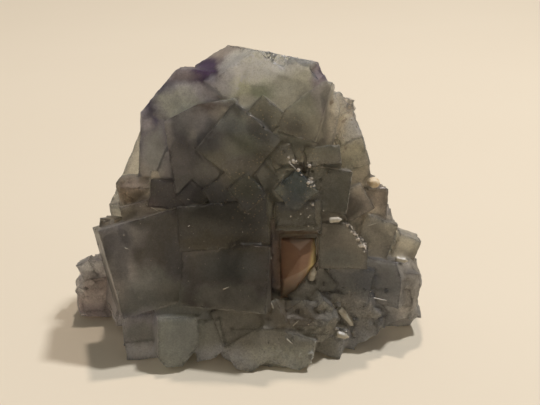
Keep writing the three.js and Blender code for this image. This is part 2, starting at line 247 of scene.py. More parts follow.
# Each crystal grew from its own batch of brine, so each face has its own tone.
FACE_TINTS = (
    Tint((3.2, 3.2, 53.5), 10.0, "#bfbeb2"),  # crown, pale green-white
    Tint((-4.9, 9.8, 55.5), 8.0, "#968788"),  # crown's corner face, lilac
    Tint((-15.0, 5.5, 45.0), 8.0, "#6b6a7a"),  # shoulder, pale green
    Tint((-25.1, 10.0, 32.0), 7.0, "#e3dfd3"),  # thin plate, nearly clear
    Tint((-9.0, -3.0, 44.0), 7.0, "#676664"),  # arched cube, purple-brown
    Tint((-1.7, -7.3, 42.3), 6.0, "#686662"),  # upper diamond, green-brown
    Tint((3.4, -2.6, 48.0), 3.6, "#323126"),  # small diamond above it
    Tint((11.0, -3.5, 46.0), 6.5, "#858174"),  # right-hand crystal, pale olive
    Tint((0.0, -11.0, 33.6), 4.5, "#3b3c3e"),  # small dark diamonds
    Tint((9.7, -8.9, 34.6), 3.4, "#888a7d"),  # teal diamond
    Tint((10.1, -10.8, 29.0), 4.0, "#777161"),  # block under it
    Tint((16.0, -7.0, 33.0), 4.5, "#5b5b53"),
    Tint((20.7, 2.3, 38.0), 6.0, "#c1b8a9"),  # right flank, pale straw
    Tint((19.0, 2.8, 45.0), 4.5, "#eee0cb"),
    Tint((26.0, 0.6, 28.3), 4.0, "#a99d90"),  # pinkish brown block
    Tint((25.8, -2.5, 21.6), 4.5, "#9e988a"),
    Tint((33.0, 1.5, 17.4), 3.5, "#c8c2b2"),  # clear block, far right
    Tint((-18.3, -12.9, 20.9), 8.0, "#4b4845"),  # large left cube
    Tint((-4.0, -15.7, 19.1), 7.0, "#444140"),  # large middle cube, dark
    Tint((-4.4, -12.7, 28.1), 5.0, "#3b3a35"),
    Tint((18.9, -9.6, 22.6), 5.0, "#857f73"),  # right cube
    Tint((26.3, -7.4, 13.5), 6.0, "#848588"),  # low right cube, bluish
    Tint((33.8, -3.4, 11.6), 5.0, "#d9d4cd"),
    Tint((-12.9, -18.7, 6.2), 5.0, "#bfc1b3"),  # grey-green block at the foot
    Tint((-21.5, -13.0, 5.0), 5.0, "#e8e3e4"),
    Tint((4.0, -18.0, 4.4), 8.0, "#b3afa1"),  # olive blocks along the foot
    Tint((-22.8, -3.0, 31.0), 5.0, "#bbb09e"),  # pinkish brown lump
    Tint((-15.0, -6.7, 31.9), 4.0, "#2f2d30"),
    Tint((-33.5, 3.0, 10.5), 4.0, "#bfbdbc"),  # clear small cubes, far left
    Tint((-33.0, 3.0, 4.5), 5.0, "#eaded9"),  # brown lump below them
    Tint((9.5, -9.0, 26.0), 3.0, "#7c765f"),  # roof of the recess, rust-stained
    Tint((5.5, -8.0, 17.0), 3.0, "#7f6859"),  # its left wall
)

# Colour that runs through the crystals whatever their faces, from the crown down to the foot.
ZONES = (
    Zone((-8.3, 5.6, 52.4), (3.3, 8.0, 4.0), "#40295a", 0.95, 0.25),  # purple corner
    Zone((-3.4, 4.6, 54.4), (1.6, 5.0, 3.0), "#f8f8f8", 0.55),
    Zone((-1.6, 4.8, 55.8), (3.2, 4.0, 1.7), "#f8f8ef", 0.8),
    Zone((1.6, 2.6, 53.4), (4.5, 4.0, 2.2), "#f8f8f8", 0.7),
    Zone((7.5, 3.0, 55.4), (5.5, 4.0, 1.8), "#f8f8f8", 0.7),
    Zone((0.5, 2.0, 52.0), (4.0, 3.0, 1.5), "#f8f8eb"),
    Zone((3.2, 1.5, 50.4), (3.6, 3.0, 1.6), "#6b7b5f", 0.75),
    Zone((7.5, 1.6, 50.9), (2.6, 3.0, 1.6), "#d4d5cd"),
    Zone((-1.8, 1.6, 50.6), (2.6, 3.0, 1.6), "#f6f8d7"),
    Zone((14.6, 3.0, 51.5), (1.8, 9.0, 5.5), "#8a7c90", 0.75),
    Zone((15.4, -3.0, 51.2), (2.0, 3.0, 3.0), "#aeaca4"),
    Zone((-13.8, 5.5, 52.7), (4.4, 6.0, 1.5), "#9a9090", 0.85),  # the shoulder
    Zone((-18.9, 4.5, 45.8), (1.8, 6.0, 5.5), "#1d1347", 0.85),
    Zone((-10.5, 4.0, 49.0), (4.5, 4.0, 2.2), "#f8f8f8", 0.8),
    Zone((-15.8, 4.1, 47.2), (2.6, 3.0, 2.6), "#55476d"),
    Zone((-17.9, 2.5, 37.5), (2.2, 4.0, 4.5), "#808486", 0.7),
    Zone((-9.0, -2.0, 48.0), (7.0, 3.0, 1.5), "#49331d"),  # arched cube
    Zone((-9.5, -2.9, 45.6), (2.6, 3.0, 2.6), "#b4b0a8", 0.7),
    Zone((-13.0, -4.8, 39.0), (3.6, 4.0, 4.5), "#2c2832", 0.7),
    Zone((-15.2, -3.3, 43.9), (1.3, 3.0, 4.0), "#aba5a2", 0.5),
    Zone((-1.8, -5.0, 48.2), (2.6, 3.0, 1.8), "#0d0d0d", 0.7),  # upper diamond
    Zone((-2.4, -5.6, 46.2), (2.8, 3.0, 1.8), "#959a94"),
    Zone((-0.3, -7.4, 42.3), (3.4, 3.0, 2.4), "#8e907a"),
    Zone((3.4, -6.1, 45.0), (2.6, 3.0, 2.8), "#414140", 0.7),
    Zone((-5.9, -8.2, 39.7), (3.2, 3.0, 2.0), "#6f6c5c", 0.75),
    Zone((-1.8, -9.0, 36.9), (3.0, 3.0, 2.2), "#6c675a"),
    Zone((11.2, -3.4, 48.7), (2.8, 3.0, 3.0), "#999c8f"),  # right-hand crystal
    Zone((9.6, -5.0, 44.4), (3.0, 3.0, 2.8), "#6d675d", 0.7),
    Zone((15.8, -1.1, 47.0), (0.9, 4.0, 6.0), "#1e1f2f"),
    Zone((14.0, -5.0, 40.6), (4.5, 3.0, 2.0), "#6b6a5b"),
    Zone((18.8, 1.0, 47.5), (2.6, 4.0, 3.4), "#e9e1d2", 0.7),  # right flank
    Zone((20.9, 2.4, 38.0), (3.0, 3.0, 5.0), "#aeac96", 0.8),
    Zone((17.1, 0.8, 47.9), (0.3, 1.5, 0.5), "#6f4c30", 0.7, 0.6),
    Zone((19.8, 2.7, 44.2), (0.5, 1.5, 0.25), "#6a441f", 0.7, 0.6),
    Zone((19.9, 2.4, 38.4), (0.25, 1.5, 0.4), "#5c3e25", 0.6, 0.6),
    Zone((0.2, -10.3, 35.0), (3.2, 3.0, 2.6), "#3b3e2f"),  # dark middle
    Zone((9.6, -8.8, 35.0), (3.4, 3.0, 3.2), "#1e343f", 0.85),
    Zone((9.8, -11.0, 31.5), (4.0, 3.0, 1.5), "#163147", 0.5),
    Zone((4.5, -8.0, 39.0), (4.0, 4.0, 3.0), "#5e5844", 0.5),
    Zone((-22.8, -2.8, 31.5), (3.5, 4.0, 3.0), "#ac917e"),
    Zone((-24.5, -12.0, 25.2), (4.5, 5.0, 3.0), "#9d9898", 0.7),  # large left cube
    Zone((-23.6, -14.5, 18.5), (2.6, 4.0, 5.5), "#dbd3cb"),
    Zone((-18.0, -15.0, 14.5), (6.0, 5.0, 4.5), "#b0b1a5"),
    Zone((-20.5, -15.0, 9.5), (4.5, 4.0, 2.4), "#87889c"),
    Zone((-12.8, -11.5, 21.0), (2.5, 4.0, 5.0), "#44454b"),
    Zone((-4.0, -14.6, 24.8), (9.0, 4.0, 1.7), "#383327", 0.7),  # large middle cube
    Zone((-3.0, -15.5, 20.5), (6.0, 3.0, 3.0), "#555d5d", 0.5),
    Zone((-3.4, -17.2, 14.8), (6.5, 3.0, 2.6), "#a29f95", 0.7),
    Zone((25.5, -8.2, 14.6), (4.2, 3.0, 4.5), "#313840"),  # low right
    Zone((33.0, -6.0, 12.0), (3.0, 4.0, 5.0), "#201714", 0.5),
    Zone((18.5, -9.5, 19.5), (4.5, 3.0, 1.8), "#5e6765", 0.5),
    Zone((18.6, -9.0, 14.2), (4.5, 3.0, 3.5), "#424644"),
    Zone((20.0, -11.0, 7.5), (7.0, 4.0, 4.0), "#cdc6b6"),
    Zone((21.5, -11.5, 2.6), (4.0, 4.0, 2.8), "#f8f8f8"),
    Zone((-4.5, -17.0, 2.2), (6.0, 5.0, 2.4), "#f8f8f8", 0.85),  # the foot
    Zone((8.0, -18.6, 2.5), (7.0, 4.0, 2.4), "#e9e8d5", 0.85),
    Zone((-12.7, -18.7, 6.0), (4.0, 3.0, 5.0), "#abaea5"),
    Zone((9.0, -15.2, 10.4), (6.0, 3.0, 2.5), "#624414", 0.5),
    # Painted shade: the next two zones darken the recess's left wall and the underside of the ledge
    # over it, where the shade falls.
    Zone((5.3, -5.9, 16.0), (2.3, 2.6, 9.0), "#22232e", 0.92),  # inside the recess
    Zone((9.7, -7.0, 26.2), (5.0, 4.0, 1.6), "#1d191d", 0.8),
    Zone((10.4, -5.6, 16.0), (4.0, 1.5, 8.0), "#956c4c"),
    Zone((-19.9, 3.8, 43.8), (1.3, 4.0, 2.0), "#d8d2e2"),  # shoulder's bright rim
    Zone((-12.9, 3.8, 47.0), (4.6, 3.0, 2.8), "#f5f8df", 0.75),
    Zone((-4.7, 2.0, 50.6), (3.0, 3.0, 2.0), "#f8f8f8", 0.7),
    Zone((24.0, -0.4, 25.1), (2.6, 4.0, 1.8), "#f8ecd4"),
    Zone((-31.0, 1.7, 4.5), (4.0, 4.0, 5.5), "#716764", 0.75),  # far left and its rim
    Zone((-35.3, 4.6, 8.4), (1.5, 4.0, 3.0), "#f8f8f8", 0.8),
    Zone((-20.6, -13.6, 5.2), (3.4, 4.0, 2.0), "#9ba096", 0.7),  # left end of the foot
    Zone((-19.7, -14.7, 1.6), (4.0, 4.0, 1.4), "#f8f8f8", 0.7),
    Zone((-4.8, -2.4, 46.8), (1.8, 2.5, 1.6), "#b9b19e"),
    # Painted shade: the next two zones darken the shaded places under the brown lump and to its
    # right.
    Zone((-19.5, -6.0, 29.8), (3.0, 3.5, 2.2), "#372d32", 0.7),  # under the brown lump
    Zone((-10.5, -6.6, 33.6), (3.4, 3.0, 2.0), "#29292f", 0.7),
    # Painted shade: the next two zones darken the hollows on the right, where the shade falls.
    Zone((23.8, -4.4, 20.3), (2.2, 3.0, 1.8), "#4f4d43", 0.7),  # hollows on the right
    Zone((20.6, -3.8, 28.6), (2.2, 2.5, 2.2), "#3a3632", 0.7),
    Zone((34.6, 0.2, 13.7), (2.0, 3.0, 2.6), "#7b7468"),
    Zone((14.4, 3.9, 53.0), (1.4, 1.8, 1.6), "#67576a", 0.75),  # crown's right corner
    Zone((5.5, 4.5, 57.0), (5.5, 3.5, 1.4), "#f8f8e9", 0.8),  # crown's rim
    Zone((21.7, 2.5, 42.1), (2.2, 3.0, 2.6), "#f8f8f8"),
    Zone((18.0, 8.0, 32.0), (9.0, 9.0, 4.0), "#89866d", 0.35),  # iron stain behind
)


@dataclass(frozen=True)
class Veil:
    """Cloudy bands inside the crystal: their width, and how dark and how light they get."""

    size_mm: float
    detail: float
    dark: float
    light: float


@dataclass(frozen=True)
class Specks:
    """Fine specks, and how far apart and how large they are, as a share of that."""

    apart_mm: float
    size: float
    strength: float
    colour: str


@dataclass(frozen=True)
class FluoriteFinish(Finish):
    """Natural fluorite: cloudy crystal that light goes part of the way into."""

    # Grown in brine and etched since: the haze inside softens every step and corner, so the
    # crystals seem to run into each other, the thin crown glows and the thick foot is smoky.
    # Faces are half polished and worn places frosted, with a warm film of dust on their gloss.

    name: str = "natural fluorite, cloudy, growth-etched"
    ior: float = 1.434
    transmission: float = 0.72
    haze: float = 1.0
    haze_depth_mm: float = 7.0
    roughness: float = 0.3
    matte: float = 0.6
    gloss: str = "#fff3e4"
    absorption: str = "#c4c4c2"
    density_per_mm: float = 0.022
    wobble_mm: float = 3.333
    wobble_by_mm: float = 3.4
    polish_mm: float = 4.0
    plate_mm: float = 2.0
    plate_depth_mm: float = 0.05
    # Real etch pits and grit are several times finer, which wouldn't show.
    pit_mm: float = 0.3846
    pit_depth_mm: float = 0.12
    grit_mm: float = 0.4167
    veils: tuple[Veil, ...] = (
        Veil(6.25, 5.0, 0.84, 1.16),
        Veil(1.111, 5.0, 0.86, 1.14),
        Veil(0.294, 3.0, 0.84, 1.18),
    )
    # Golden rust, grey dust and dark specks. They lie most in the middle of the front, and are
    # drawn two to four times as large as the real ones, which wouldn't show.
    specks: tuple[Specks, ...] = (
        Specks(0.6667, 0.24, 0.7, "#c9ae78"),
        Specks(1.25, 0.14, 0.35, "#b7ad98"),
        Specks(2.5, 0.06, 0.7, "#2a2019"),
    )
    dusty_at: Point = (5.0, -6.0, 38.75)
    dusty_reach: Point = (10.0, 10.0, 12.5)
    dust_patch_mm: float = 2.5
    ragged_mm: float = 0.25
    ragged_by_mm: float = 0.08

    def surface(self, tree: Tree, millimetres: Socket) -> dict[str, object]:
        """Paints the crystals: their own tints, then the zones, then veils, dust and grit.

        Args:
            tree: the material's tree.
            millimetres: the position.

        Returns:
            The shader's inputs.
        """
        wobble = add_node(tree, "ShaderNodeTexNoise", {
            "Vector": millimetres, "Scale": 1 / self.wobble_mm, "Detail": 3.0,
            "Roughness": 0.55})
        centred = add_node(tree, "ShaderNodeVectorMath", {
            0: wobble.outputs["Color"], 1: (0.5, 0.5, 0.5)}, operation="SUBTRACT")
        stretched = add_node(tree, "ShaderNodeVectorMath", {
            0: centred.outputs["Vector"], "Scale": self.wobble_by_mm}, operation="SCALE")
        warped = add_node(tree, "ShaderNodeVectorMath", {
            0: millimetres, 1: stretched.outputs["Vector"]}, operation="ADD").outputs["Vector"]
        colour = add_node(tree, "ShaderNodeAttribute", attribute_name="tint").outputs["Color"]
        for zone in ZONES:
            colour = self.zone_over(tree, colour, warped, zone)
        colour = self.veiled(tree, colour, millimetres)
        colour = self.dusted(tree, colour, millimetres)
        colour = self.rubbed(tree, colour, millimetres)
        face = add_node(tree, "ShaderNodeUVMap", uv_map="face").outputs["UV"]
        return {
            "Base Color": colour,
            "Roughness": self.uneven_roughness(tree, millimetres),
            "IOR": self.ior,
            "Specular Tint": linear(self.gloss),
            "Transmission Weight": self.transmission,
            "Subsurface Weight": self.haze,
            "Subsurface Radius": (1.0, 1.0, 0.9),
            "Subsurface Scale": self.haze_depth_mm * MM,
            "Normal": self.relief(tree, face, millimetres),
        }

    def inside(self, tree: Tree) -> dict[str, Socket]:
        """Makes the crystal smoky inside.

        Args:
            tree: the material's tree.

        Returns:
            The output's volume.
        """
        return {"Volume": add_node(tree, "ShaderNodeVolumeAbsorption", {
            "Color": linear(self.absorption),
            "Density": self.density_per_mm / MM}).outputs["Volume"]}

    def zone_over(self, tree: Tree, under: Socket, warped: Socket, zone: Zone) -> Socket:
        """Lays one colour zone over the colours so far.

        Args:
            tree: the material's tree.
            under: the colours so far.
            warped: the position in millimetres, with its natural unevenness.
            zone: the zone.

        Returns:
            The mixed colour.
        """
        share = add_node(tree, "ShaderNodeMapRange", {
            "Value": away_from(tree, warped, zone.at, zone.reach),
            "From Min": 1 + zone.edge, "From Max": 1 - zone.edge,
            "To Max": zone.strength}, interpolation_type="SMOOTHSTEP")
        return add_node(tree, "ShaderNodeMix", {
            0: share.outputs["Result"], 6: under, 7: linear(zone.colour)},
            data_type="RGBA").outputs[2]

    def veiled(self, tree: Tree, colour: Socket, millimetres: Socket) -> Socket:
        """Adds cloudy bands and fine mottling to the colour.

        Args:
            tree: the material's tree.
            colour: the colour so far.
            millimetres: the position.

        Returns:
            The clouded colour.
        """
        for veil in self.veils:
            shade = uneven(tree, millimetres, veil.size_mm, (0.32, 0.68),
                           (veil.dark, veil.light), veil.detail)
            colour = add_node(tree, "ShaderNodeVectorMath", {
                0: colour, "Scale": shade}, operation="SCALE").outputs["Vector"]
        return colour

    def dusted(self, tree: Tree, colour: Socket, millimetres: Socket) -> Socket:
        """Adds specks in patches, most of them in the middle of the front.

        Args:
            tree: the material's tree.
            colour: the colour so far.
            millimetres: the position.

        Returns:
            The speckled colour.
        """
        patch = uneven(tree, millimetres, self.dust_patch_mm, (0.38, 0.52), (0.0, 1.0), 2.0, 0.5)
        front = add_node(tree, "ShaderNodeMapRange", {
            "Value": away_from(tree, millimetres, self.dusty_at, self.dusty_reach),
            "From Min": 1.4, "From Max": 0.5, "To Min": 0.1})
        dusty = add_node(tree, "ShaderNodeMath", {
            0: patch, 1: front.outputs["Result"]}, operation="MULTIPLY")
        ragged = add_node(tree, "ShaderNodeVectorMath", {
            0: add_node(tree, "ShaderNodeTexNoise", {
                "Vector": millimetres, "Scale": 1 / self.ragged_mm,
                "Detail": 2.0}).outputs["Color"],
            1: (self.ragged_by_mm,) * 3, 2: millimetres}, operation="MULTIPLY_ADD")
        for specks in self.specks:
            dots = add_node(tree, "ShaderNodeTexVoronoi", {
                "Vector": ragged.outputs["Vector"], "Scale": 1 / specks.apart_mm,
                "Randomness": 1.0})
            most = add_node(tree, "ShaderNodeMath", {
                0: dusty.outputs["Value"], 1: specks.strength}, operation="MULTIPLY")
            spot = add_node(tree, "ShaderNodeMapRange", {
                "Value": dots.outputs["Distance"], "From Min": specks.size,
                "From Max": 0.4 * specks.size, "To Max": most.outputs["Value"]})
            colour = add_node(tree, "ShaderNodeMix", {
                0: spot.outputs["Result"], 6: colour, 7: linear(specks.colour)},
                data_type="RGBA").outputs[2]
        return colour

    def rubbed(self, tree: Tree, colour: Socket, millimetres: Socket) -> Socket:
        """Adds grit to the colour where the crystal is worn.

        Args:
            tree: the material's tree.
            colour: the colour so far.
            millimetres: the position.

        Returns:
            The finished colour.
        """
        shade = uneven(tree, millimetres, self.grit_mm, (0.36, 0.66), (0.5, 1.6), 6.0, 0.75)
        gritty = add_node(tree, "ShaderNodeVectorMath", {
            0: colour, "Scale": shade}, operation="SCALE")
        worn = add_node(tree, "ShaderNodeAttribute", attribute_name="worn").outputs["Fac"]
        return add_node(tree, "ShaderNodeMix", {
            0: worn, 6: colour, 7: gritty.outputs["Vector"]}, data_type="RGBA").outputs[2]

    def uneven_roughness(self, tree: Tree, millimetres: Socket) -> Socket:
        """Makes polished and frosted patches.

        Args:
            tree: the material's tree.
            millimetres: the position.

        Returns:
            The roughness.
        """
        polish = uneven(tree, millimetres, self.polish_mm, (0.35, 0.68),
                        (0.75 * self.roughness, 1.5 * self.roughness))
        worn = add_node(tree, "ShaderNodeAttribute", attribute_name="worn").outputs["Fac"]
        return add_node(tree, "ShaderNodeMix", {
            0: worn, 2: polish, 3: self.matte}).outputs[0]

    def relief(self, tree: Tree, face: Socket, millimetres: Socket) -> Socket:
        """Makes the low square growth plates and etch pits of the faces.

        Args:
            tree: the material's tree.
            face: the position on a face, along its own edges, in millimetres.
            millimetres: the position.

        Returns:
            The bumped normal.
        """
        plates = add_node(tree, "ShaderNodeTexVoronoi", {
            "Vector": face, "Scale": 1 / self.plate_mm, "Randomness": 0.9},
            distance="CHEBYCHEV")
        pits = add_node(tree, "ShaderNodeTexNoise", {
            "Vector": millimetres, "Scale": 1 / self.pit_mm, "Detail": 5.0,
            "Roughness": 0.65})
        low = add_node(tree, "ShaderNodeBump", {
            "Height": plates.outputs["Color"], "Strength": 0.15,
            "Distance": self.plate_depth_mm * MM})
        return add_node(tree, "ShaderNodeBump", {
            "Height": pits.outputs["Fac"], "Strength": 0.4,
            "Distance": self.pit_depth_mm * MM,
            "Normal": low.outputs["Normal"]}).outputs["Normal"]


@dataclass(frozen=True)
class StainBand:
    """A tone that grows along a direction, from a start to an end in millimetres.

    The direction is taken from the plane x = fold, and goes the same way on both sides of it.
    """

    way: Point
    fold: float
    start: float
    end: float
    colour: str
    strength: float


@dataclass(frozen=True)
class StainedFinish(Finish):
    """Fluorite stained through by iron: orange-brown, with a redder heart."""

    # Waxy and nearly opaque: flat facets of slightly different browns, lit softly from within,
    # with an ochre edge where the stain is thickest.

    name: str = "iron-stained fluorite, waxy"
    base: str = "#bd9a7a"
    heart: str = "#a07a69"
    bands: tuple[StainBand, ...] = (
        # The lower end is duller, and it and its facet are also painted paler: painted light that
        # lifts the shade the recess casts on them.
        StainBand((0.0, 0.0, 1.0), 0.0, 15.0, 10.5, "#d2bda6", 0.6),  # dull lower end
        StainBand((-0.58, 0.0, 1.0), 0.0, 11.0, 10.6, "#d2bda6", 0.5),  # its facet
        StainBand((-0.7, 0.0, 1.0), 10.8, 21.1, 21.6, "#e2cbb8", 0.65),  # pinkish top facet
        StainBand((1.0, 0.0, -0.2), 0.0, 8.4, 9.6, "#fbe3a0", 0.85),  # ochre edge
    )
    ior: float = 1.434
    transmission: float = 0.2
    roughness: float = 0.42
    glow_mm: float = 0.7
    mottle_mm: float = 2.0
    # The real skin is finer: these grains are as coarse as they need to be to show.
    grain_mm: float = 0.4545
    grain_depth_mm: float = 0.15

    def surface(self, tree: Tree, millimetres: Socket) -> dict[str, object]:
        """Paints the crystal: ochre on the right, pinkish at the top and red in the middle.

        Args:
            tree: the material's tree.
            millimetres: the position.

        Returns:
            The shader's inputs.
        """
        mottle = add_node(tree, "ShaderNodeTexNoise", {
            "Vector": millimetres, "Scale": 1 / self.mottle_mm, "Detail": 5.0,
            "Roughness": 0.6})
        colour = add_node(tree, "ShaderNodeMix", {
            0: mottle.outputs["Fac"], 6: linear(self.heart), 7: linear(self.base)},
            data_type="RGBA").outputs[2]
        for band in self.bands:
            side = add_node(tree, "ShaderNodeVectorMath", {
                0: millimetres, 1: (band.fold, 0.0, 0.0)}, operation="SUBTRACT")
            folded = add_node(tree, "ShaderNodeVectorMath", {
                0: side.outputs["Vector"]}, operation="ABSOLUTE")
            reach = add_node(tree, "ShaderNodeVectorMath", {
                0: folded.outputs["Vector"], 1: band.way}, operation="DOT_PRODUCT")
            share = add_node(tree, "ShaderNodeMapRange", {
                "Value": reach.outputs["Value"], "From Min": band.start, "From Max": band.end,
                "To Max": band.strength}, interpolation_type="SMOOTHSTEP")
            colour = add_node(tree, "ShaderNodeMix", {
                0: share.outputs["Result"], 6: colour, 7: linear(band.colour)},
                data_type="RGBA").outputs[2]
        grain = add_node(tree, "ShaderNodeTexNoise", {
            "Vector": millimetres, "Scale": 1 / self.grain_mm, "Detail": 5.0,
            "Roughness": 0.65})
        return {
            "Base Color": colour, "Roughness": self.roughness, "IOR": self.ior,
            "Transmission Weight": self.transmission, "Subsurface Weight": 1.0,
            "Subsurface Radius": (1.0, 0.8, 0.6), "Subsurface Scale": self.glow_mm * MM,
            "Normal": add_node(tree, "ShaderNodeBump", {
                "Height": grain.outputs["Fac"], "Strength": 0.4,
                "Distance": self.grain_depth_mm * MM}).outputs["Normal"],
        }


@dataclass(frozen=True)
class GrainFinish(Finish):
    """Quartz in small pieces: milky, with a slight stain."""

    # Grown as small prisms and crumbs: the palest thing on the cluster, with a hard glint on
    # its faces and a dull, dusty patch here and there.

    name: str = "milky quartz, grown as prisms"
    pale: str = "#e2dbca"
    dull: str = "#c2b7a0"
    ior: float = 1.544
    transmission: float = 0.25
    roughness: float = 0.36
    speckle_mm: float = 1.1
    # Real growth lines are hairlines: these are as coarse as they need to be to show.
    line_mm: float = 0.3125
    line_depth_mm: float = 0.1

    def surface(self, tree: Tree, millimetres: Socket) -> dict[str, object]:
        """Paints the grains pale, with duller patches and fine growth lines.

        Args:
            tree: the material's tree.
            millimetres: the position.

        Returns:
            The shader's inputs.
        """
        share = uneven(tree, millimetres, self.speckle_mm, (0.38, 0.66), (0.0, 1.0), 4.0, 0.5)
        colour = add_node(tree, "ShaderNodeMix", {
            0: share, 6: linear(self.pale), 7: linear(self.dull)}, data_type="RGBA").outputs[2]
        fine = add_node(tree, "ShaderNodeTexNoise", {
            "Vector": millimetres, "Scale": 1 / self.line_mm, "Detail": 4.0})
        return {
            "Base Color": colour, "Roughness": self.roughness, "IOR": self.ior,
            "Transmission Weight": self.transmission,
            "Normal": add_node(tree, "ShaderNodeBump", {
                "Height": fine.outputs["Fac"], "Strength": 0.3,
                "Distance": self.line_depth_mm * MM}).outputs["Normal"],
        }


@dataclass(frozen=True)
class Weathering:
    """A region where the crystals are rough and their edges broken, in millimetres.

    It is whole up to 0.7 of its reach and fades out up to its border, at 1.3 of it.
    """

    at: Point
    reach: Point
    chips: float
    rough: float
    border: float = 1.3
    fade: float = 0.6

    def share(self, place: Vector) -> float:
        """Tells how far a point is inside the region.

        Args:
            place: the point, in millimetres.

        Returns:
            1 in the middle, 0 at the border and beyond.
        """
        off = [(p - a) / r for p, a, r in zip(place, self.at, self.reach)]
        if max(off) > self.border or min(off) < -self.border:
            return 0.0
        return min(max((self.border - math.hypot(*off)) / self.fade, 0.0), 1.0)


@dataclass
class DressedSolid:
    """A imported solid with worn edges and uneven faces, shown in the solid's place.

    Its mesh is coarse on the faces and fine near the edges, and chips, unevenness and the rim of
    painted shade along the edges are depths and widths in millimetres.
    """

    node: str
    name: str
    slot: str
    material: bpy.types.Material
    bevel: float = 0.12
    coarse: float = 2.0
    fine: float = 0.85
    near: float = 0.9
    chips: float = 0.22
    unevenness: float = 0.04
    softened: int = 2
    crisp: float = 0.4
    rim: float = 0.4
    weld: float = 0.002
    spacing: float = 0.5
    splits: int = 7
    weathering: tuple[Weathering, ...] = ()

    def build(self, source: bpy.types.Object) -> bpy.types.Object:
        """Copies the solid, wears its edges and roughens its faces.

        Args:
            source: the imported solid, which is left as it is.

        Returns:
            The piece that stands for it.
        """
        bm = bmesh.new()
        bm.from_mesh(source.data)
        bmesh.ops.remove_doubles(bm, verts=bm.verts, dist=self.weld * MM)
        bmesh.ops.dissolve_limit(bm, angle_limit=FLAT, verts=bm.verts, edges=bm.edges)
        self.mark(bm)
        sharp = [e for e in bm.edges if e.is_manifold and e.calc_face_angle_signed() > SHARP]
        edges = self.edge_tree(sharp)
        bmesh.ops.bevel(
            bm, geom=sharp, offset=self.bevel * MM, offset_type="OFFSET", affect="EDGES",
            segments=1, profile=0.5, material=-1, clamp_overlap=False)
        bmesh.ops.remove_doubles(bm, verts=bm.verts, dist=2 * self.weld * MM)
        bmesh.ops.triangulate(bm, faces=bm.faces)
        self.refine(bm, edges)
        self.soften(bm, edges)
        self.wear(bm, edges)
        self.finish(bm)
        for face in bm.faces:
            face.smooth = True
        piece = object_with(self.name, bm, self.material)
        piece.data.set_sharp_from_angle(angle=CREASE)
        return piece

    def mark(self, bm: bmesh.types.BMesh) -> None:
        """Gives each face its own flat coordinates, along its longest edge, in millimetres.

        Args:
            bm: the mesh, with whole flat faces.
        """
        flat = bm.loops.layers.uv.new("face")
        for face in bm.faces:
            edge = max(face.edges, key=lambda e: e.calc_length())
            along = (edge.verts[1].co - edge.verts[0].co).normalized()
            across = face.normal.cross(along)
            for loop in face.loops:
                loop[flat].uv = (loop.vert.co.dot(along) / MM, loop.vert.co.dot(across) / MM)

    def finish(self, bm: bmesh.types.BMesh) -> None:
        """Leaves the worn mesh as it is; a piece with more to mark does it here."""

    def edge_tree(self, edges: list[bmesh.types.BMEdge]) -> KDTree:
        """Puts points along sharp edges, to find how near a place is to one.

        Args:
            edges: the sharp edges.

        Returns:
            The points, ready to search.
        """
        points = []
        for edge in edges:
            start, end = (v.co for v in edge.verts)
            steps = max(1, round((end - start).length / (self.spacing * MM)))
            points += [start.lerp(end, i / steps) for i in range(steps + 1)]
        tree = KDTree(max(len(points), 1))
        for i, point in enumerate(points or [Vector((0.0, 0.0, -1.0))]):
            tree.insert(point, i)
        tree.balance()
        return tree

    def roughness_at(self, place: Vector) -> tuple[float, float]:
        """Finds how broken and how rough the solid is at a place.

        Args:
            place: the place, in millimetres.

        Returns:
            The depth of the chips along edges and of the roughness on faces, in millimetres.
        """
        chips, rough = self.chips, self.unevenness
        for region in self.weathering:
            share = region.share(place)
            chips += (region.chips - chips) * share
            rough += (region.rough - rough) * share
        return chips, rough

    def refine(self, bm: bmesh.types.BMesh, edges: KDTree) -> None:
        """Splits long edges: finely near worn edges and in rough regions.

        Args:
            bm: the mesh, in triangles.
            edges: points along the sharp edges.
        """
        for _ in range(self.splits):
            long = []
            for edge in bm.edges:
                length = edge.calc_length() / MM
                if length <= self.fine:
                    continue
                middle = (edge.verts[0].co + edge.verts[1].co) / 2
                reach = self.near + length / 2
                if length > self.coarse or edges.find(middle)[2] < reach * MM or (
                        length > 1.5 * self.fine and self.roughness_at(middle / MM)[1] > 0.15):
                    long.append(edge)
            if not long:
                return
            bmesh.ops.subdivide_edges(bm, edges=long, cuts=1)
            bmesh.ops.triangulate(bm, faces=[f for f in bm.faces if len(f.verts) > 3])

    def soften(self, bm: bmesh.types.BMesh, edges: KDTree) -> None:
        """Fills the creases between crystals and leaves their outer edges crisp.

        Args:
            bm: the mesh.
            edges: points along the sharp edges.
        """
        inner = [v for v in bm.verts if edges.find(v.co)[2] > self.crisp * MM]
        for _ in range(self.softened):
            bmesh.ops.smooth_vert(bm, verts=inner, factor=0.5, use_axis_x=True,
                                  use_axis_y=True, use_axis_z=True)

    def wear(self, bm: bmesh.types.BMesh, edges: KDTree) -> None:
        """Breaks chips out of the edges and makes the faces uneven.

        Args:
            bm: the mesh.
            edges: points along the sharp edges.
        """
        bm.normal_update()
        worn = bm.verts.layers.float.new("worn")
        rim = bm.verts.layers.float.new("rim")
        moves = []
        for vert in bm.verts:
            place = vert.co / MM
            chips, rough = self.roughness_at(place)
            # Faces swell and sink in waves of about 2 mm and 1 mm, and a rough place also has
            # blocky steps, 1.3 mm apart.
            swell = noise.noise(place * 0.45) + 0.6 * noise.noise(place * 1.1)
            if rough > 0.1:
                swell += 1.3 * noise.cell(STEP_TURN @ place * 0.75) - 0.3
